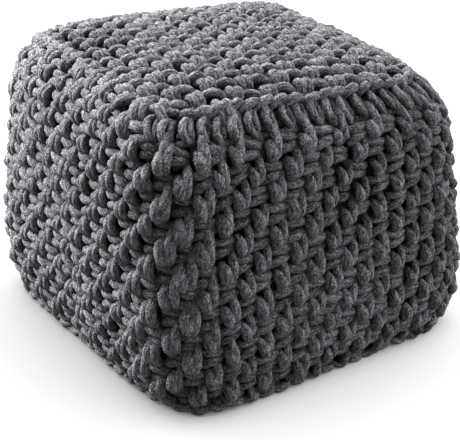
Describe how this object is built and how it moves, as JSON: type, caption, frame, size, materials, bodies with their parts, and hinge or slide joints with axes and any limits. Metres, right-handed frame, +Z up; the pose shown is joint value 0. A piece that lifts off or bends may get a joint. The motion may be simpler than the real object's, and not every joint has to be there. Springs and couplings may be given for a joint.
{
  "type": "knitted pouf",
  "caption": "Square floor pouf: a filled, soft-cornered block in a chunky moss-knit cotton cover with a crowned top panel and a chained top seam.",
  "frame": {"origin": "at floor level, under the middle of the pouf", "axes": "+Z up; -Y the front, the side along whose top edge the seam shows as a chain; +X to the right of someone facing the front"},
  "size_m": [0.4602, 0.4744, 0.3565],
  "materials": {
    "cotton_knit": "matt chunky knit in thick cotton cord",
    "seam_chain": "matt chain stitch in the same cotton cord"
  },
  "bodies": {
    "root": {"side_band": "cotton_knit", "top_panel": "cotton_knit", "bottom_panel": "cotton_knit", "top_seam": "seam_chain"}
  },
  "joints": []
}
